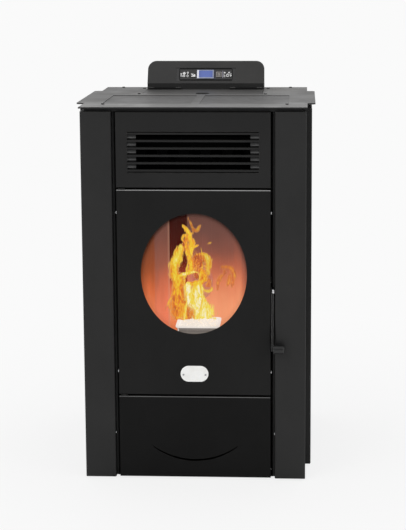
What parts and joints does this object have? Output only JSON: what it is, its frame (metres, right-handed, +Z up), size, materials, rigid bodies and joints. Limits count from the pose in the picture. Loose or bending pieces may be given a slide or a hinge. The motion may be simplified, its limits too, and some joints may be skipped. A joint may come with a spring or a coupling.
{
  "type": "pellet stove",
  "caption": "Free-standing pellet stove in black folded steel, with an oval-window door, ash drawer, louvred warm-air grille, hopper lid and sloping control panel.",
  "frame": {"origin": "centre of the whole envelope on the floor plane", "axes": "+X to the right seen from the front, +Y from the door towards the back, +Z up"},
  "size_m": [0.508, 0.5428, 0.864],
  "materials": {
    "black_powder": "satin",
    "grille_paint": "satin",
    "door_paint": "satin",
    "top_plate_paint": "semi_gloss",
    "console_paint": "satin",
    "inner_steel": "matt",
    "galvanised": "galvanised",
    "cast_iron": "matt",
    "liner_board": "matt",
    "pot_steel": "heat worn",
    "glass": "clear",
    "seal_rope": "braided glass fibre",
    "badge_white": "gloss",
    "screw_steel": "polished",
    "latch_paint": "satin",
    "knob_plastic": "satin",
    "console_plastic": "gloss",
    "screen": "lit blue",
    "key_plastic": "satin",
    "board_green": "satin",
    "motor_metal": "cast",
    "fan_steel": "mill",
    "inlet_plastic": "matt",
    "foot_rubber": "matt"
  },
  "bodies": {
    "stove": {"air_intake": "galvanised", "air_plenum": "inner_steel", "auger_gearmotor": "motor_metal", "baffle_plate": "liner_board", "base_tray": "inner_steel", "brazier_stand": "inner_steel", "casing_screws": "screw_steel", "control_bezel": "console_plastic", "control_board": "board_green", "control_housing": "console_paint", "display_screen": "screen", "feed_tube": "inner_steel", "fireback": "liner_board", "firebox_body": "inner_steel", "flue_stub": "inner_steel", "grille_panel": "grille_paint", "heat_exchanger": "inner_steel", "hinge_brackets": "screw_steel", "hopper": "galvanised", "hopper_grid": "screw_steel", "igniter": "screw_steel", "latch_keeper": "screw_steel", "left_liner": "liner_board", "left_side_casing": "black_powder", "left_side_panel": "black_powder", "levelling_feet": "foot_rubber", "lid_hinge": "console_plastic", "louvre_grille": "grille_paint", "power_inlet": "inlet_plastic", "rear_panel": "galvanised", "right_liner": "liner_board", "right_side_casing": "black_powder", "right_side_panel": "black_powder", "riser_duct": "galvanised", "room_fan_housing": "galvanised", "smoke_fan_housing": "motor_metal", "smoke_fan_motor": "motor_metal", "top_plate": "top_plate_paint", "top_riser": "black_powder"},
    "door": {"door_skin": "door_paint", "door_frame": "cast_iron", "door_glass": "glass", "door_seals": "seal_rope", "glass_clips": "screw_steel", "badge_plate": "badge_white", "door_screws": "screw_steel"},
    "latch": {"latch_lever": "latch_paint", "latch_knob": "knob_plastic"},
    "ash_drawer": {"drawer_front": "door_paint", "drawer_box": "galvanised"},
    "lid": {"hopper_lid": "top_plate_paint"},
    "burn_pot": {"brazier": "pot_steel"},
    "auger": {"auger_screw": "fan_steel"},
    "smoke_wheel": {"smoke_fan_wheel": "fan_steel"},
    "room_wheel": {"room_fan_wheel": "fan_steel"},
    "switch_rocker": {"power_switch": "inlet_plastic"},
    "key_1": {"outer_left_key": "key_plastic"},
    "key_2": {"inner_left_key": "key_plastic"},
    "key_3": {"inner_right_key": "key_plastic"},
    "key_4": {"outer_right_key": "key_plastic"}
  },
  "joints": [
    {"name": "door_swing", "type": "hinge", "parent": "stove", "child": "door", "pos_m": [-0.15, -0.24163, 0.186], "axis": [0, 0, -1], "range_deg": [0, 100]},
    {"name": "latch_turn", "type": "hinge", "parent": "door", "child": "latch", "pos_m": [0.1629, -0.24063, 0.4105], "axis": [-1, 0, 0], "range_deg": [0, 60]},
    {"name": "ash_drawer_slide", "type": "slide", "parent": "stove", "child": "ash_drawer", "axis": [0, -1, 0], "range_m": [0, 0.22]},
    {"name": "lid_lift", "type": "hinge", "parent": "stove", "child": "lid", "pos_m": [0, 0.16137, 0.803], "axis": [-1, 0, 0], "range_deg": [0, 90]},
    {"name": "burn_pot_lift", "type": "slide", "parent": "stove", "child": "burn_pot", "axis": [0, 0, 1], "range_m": [0, 0.08]},
    {"name": "auger_spin", "type": "hinge", "parent": "stove", "child": "auger", "pos_m": [0, 0.15138, 0.372], "axis": [0, -0.7071, 0.7071], "continuous": true},
    {"name": "smoke_wheel_spin", "type": "hinge", "parent": "stove", "child": "smoke_wheel", "pos_m": [0.118, 0.08737, 0.139], "axis": [1, 0, 0], "continuous": true},
    {"name": "room_wheel_spin", "type": "hinge", "parent": "stove", "child": "room_wheel", "pos_m": [-0.08, 0.08737, 0.096], "axis": [1, 0, 0], "continuous": true},
    {"name": "switch_rock", "type": "hinge", "parent": "stove", "child": "switch_rocker", "pos_m": [-0.178, 0.21688, 0.132], "axis": [-1, 0, 0], "range_deg": [0, 18]},
    {"name": "key_1_press", "type": "slide", "parent": "stove", "child": "key_1", "axis": [0, 0.8799, -0.4751], "range_m": [0, 0.0012], "stiffness_N_per_m": 400, "springref_m": -0.0004},
    {"name": "key_2_press", "type": "slide", "parent": "stove", "child": "key_2", "axis": [0, 0.8799, -0.4751], "range_m": [0, 0.0012], "stiffness_N_per_m": 400, "springref_m": -0.0004},
    {"name": "key_3_press", "type": "slide", "parent": "stove", "child": "key_3", "axis": [0, 0.8799, -0.4751], "range_m": [0, 0.0012], "stiffness_N_per_m": 400, "springref_m": -0.0004},
    {"name": "key_4_press", "type": "slide", "parent": "stove", "child": "key_4", "axis": [0, 0.8799, -0.4751], "range_m": [0, 0.0012], "stiffness_N_per_m": 400, "springref_m": -0.0004}
  ]
}
